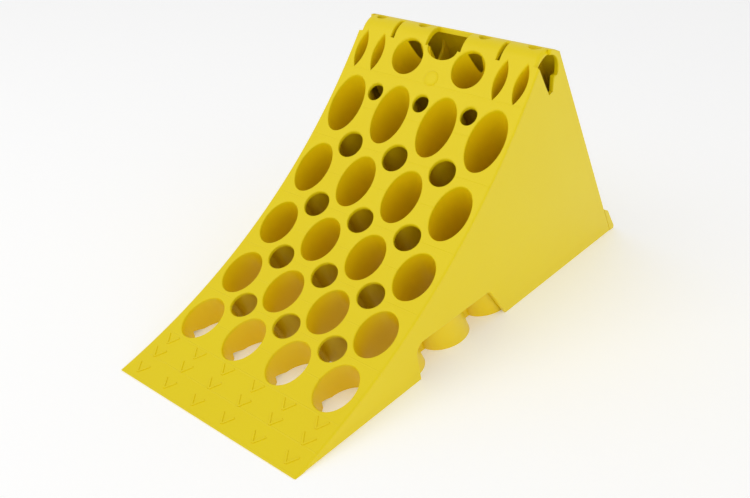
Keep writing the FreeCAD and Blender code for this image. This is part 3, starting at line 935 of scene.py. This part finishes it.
class CHOCK_OT_toe_arrows(bpy.types.Operator):
    """Makes the raised arrowheads on the toe plate"""

    bl_idname = "chock.toe_arrows"
    bl_label = "Toe Arrows"

    def execute(self, context):
        sizes = context.scene.chock_sizes
        marks = context.scene.chock_marks
        rise = marks.arrow_rise
        turn = math.atan2(marks.arrow_spread, marks.arrow_length)
        span = math.hypot(marks.arrow_spread, marks.arrow_length)
        half = marks.arrow_bar / 2
        arms = []
        for side in (-1, 1):
            arm = block((-half, 0, -marks.arrow_root), (half, span, rise))
            arm.rotation_euler.z = -side * turn
            only(arm)
            settle()
            arms.append(arm)
        arrow = combine(arms[0], arms[1], "UNION")

        def top_edge(edge):
            return all(abs(v.co.z - rise) < TINY for v in edge.verts) and edge.calc_face_angle(0) > 1

        round_edges(arrow, marks.arrow_round, top_edge, 2)
        arrows = []
        for tip in ARROW_TIPS:
            for column in ARROW_COLUMNS:
                twin = copy_of(arrow, "arrow")
                twin.location = (column * marks.arrow_pitch, deck_distance(sizes, tip), 0)
                only(twin)
                arrows.append(settle())
        mesh = arrow.data
        bpy.data.objects.remove(arrow)
        bpy.data.meshes.remove(mesh)
        only(*arrows)
        bpy.ops.object.join()
        joined = bpy.context.object
        wrap(sizes, joined)
        smooth(joined)
        finished(joined, "toe_arrows_skin", plastic("skin"), "shell", "toe_arrows")
        return {"FINISHED"}


class CHOCK_OT_mould_mark(bpy.types.Operator):
    """Makes the small dome that the mould leaves below the crest"""

    bl_idname = "chock.mould_mark"
    bl_label = "Mould Mark"

    def execute(self, context):
        sizes = context.scene.chock_sizes
        marks = context.scene.chock_marks
        bpy.ops.object.select_all(action="DESELECT")
        bpy.ops.mesh.primitive_uv_sphere_add(segments=48, ring_count=24, radius=marks.dome_radius)
        dome = bpy.context.object
        dome.scale.z = marks.dome_flatness
        dome.location = (marks.dome_x, deck_distance(sizes, marks.dome_y), 0)
        settle()
        wrap(sizes, dome)
        smooth(dome, 60)
        finished(dome, "mould_mark", plastic("skin"), "shell")
        return {"FINISHED"}


class CHOCK_OT_stage(bpy.types.Operator):
    """Sets the floor, the soft light and the camera"""

    bl_idname = "chock.stage"
    bl_label = "Stage"

    def execute(self, context):
        finish = context.scene.chock_finish
        scene = context.scene
        bpy.ops.object.select_all(action="DESELECT")
        bpy.ops.mesh.primitive_plane_add(size=12)
        floor = bpy.context.object
        floor.name = "floor"
        pale = bpy.data.materials.new("pale_floor")
        pale.use_nodes = True
        shader = pale.node_tree.nodes["Principled BSDF"]
        shader.inputs["Base Color"].default_value = (*finish.floor_grey, 1)
        shader.inputs["Emission Color"].default_value = (*finish.floor_grey, 1)
        shader.inputs["Emission Strength"].default_value = 0.22
        shader.inputs["Roughness"].default_value = 0.9
        floor.data.materials.append(pale)

        world = bpy.data.worlds.new("studio")
        world.use_nodes = True
        scene.world = world
        sky = world.node_tree.nodes["Background"]
        sky.inputs["Color"].default_value = (1, 1, 1, 1)
        sky.inputs["Strength"].default_value = 0.68

        for name, place, size, power in (
            ("key_light", (-0.7, -1.2, 1.7), 1.6, 8),
            ("fill_light", (1.8, -0.6, 0.9), 1.4, 3),
        ):
            bpy.ops.object.light_add(type="AREA", location=place)
            light = bpy.context.object
            light.name = name
            light.data.size = size
            light.data.energy = power
            towards = Vector((0, 0, 0.1)) - light.location
            light.rotation_euler = towards.to_track_quat("-Z", "Y").to_euler()

        bpy.ops.object.camera_add(location=CAMERA_PLACE)
        camera = bpy.context.object
        camera.name = "camera"
        camera.data.lens = CAMERA_LENS
        camera.data.sensor_width = 36
        roll = Quaternion((0, 0, 1), math.radians(CAMERA_ROLL))
        camera.rotation_euler = (Vector(CAMERA_AHEAD).to_track_quat("-Z", "Y") @ roll).to_euler()
        scene.camera = camera
        scene.view_settings.view_transform = "Standard"
        return {"FINISHED"}


class CHOCK_PT_panel(bpy.types.Panel):
    """Lists the chock's pieces in the sidebar"""

    bl_label = "Wheel Chock"
    bl_idname = "CHOCK_PT_panel"
    bl_space_type = "VIEW_3D"
    bl_region_type = "UI"
    bl_category = "Wheel Chock"

    def draw(self, context):
        column = self.layout.column()
        for operator in OPERATORS:
            column.operator(operator.bl_idname)
        for group in ("chock_sizes", "chock_openings", "chock_marks", "chock_finish"):
            settings = getattr(context.scene, group)
            for name in settings.__annotations__:
                column.prop(settings, name)


OPERATORS = (
    CHOCK_OT_finishes,
    CHOCK_OT_flat_sheet,
    CHOCK_OT_deck,
    CHOCK_OT_hood,
    CHOCK_OT_rear,
    CHOCK_OT_side_walls,
    CHOCK_OT_lip,
    CHOCK_OT_toe_arrows,
    CHOCK_OT_mould_mark,
    CHOCK_OT_stage,
)
CLASSES = (ChockSizes, ChockOpenings, ChockMarks, ChockFinish, *OPERATORS, CHOCK_PT_panel)


def register():
    for item in CLASSES:
        bpy.utils.register_class(item)
    bpy.types.Scene.chock_sizes = PointerProperty(type=ChockSizes)
    bpy.types.Scene.chock_openings = PointerProperty(type=ChockOpenings)
    bpy.types.Scene.chock_marks = PointerProperty(type=ChockMarks)
    bpy.types.Scene.chock_finish = PointerProperty(type=ChockFinish)


def unregister():
    del bpy.types.Scene.chock_finish
    del bpy.types.Scene.chock_marks
    del bpy.types.Scene.chock_openings
    del bpy.types.Scene.chock_sizes
    for item in reversed(CLASSES):
        bpy.utils.unregister_class(item)


def main():
    register()
    for operator in OPERATORS:
        getattr(bpy.ops.chock, operator.bl_idname.split(".")[1])()


if __name__ == "__main__":
    main()
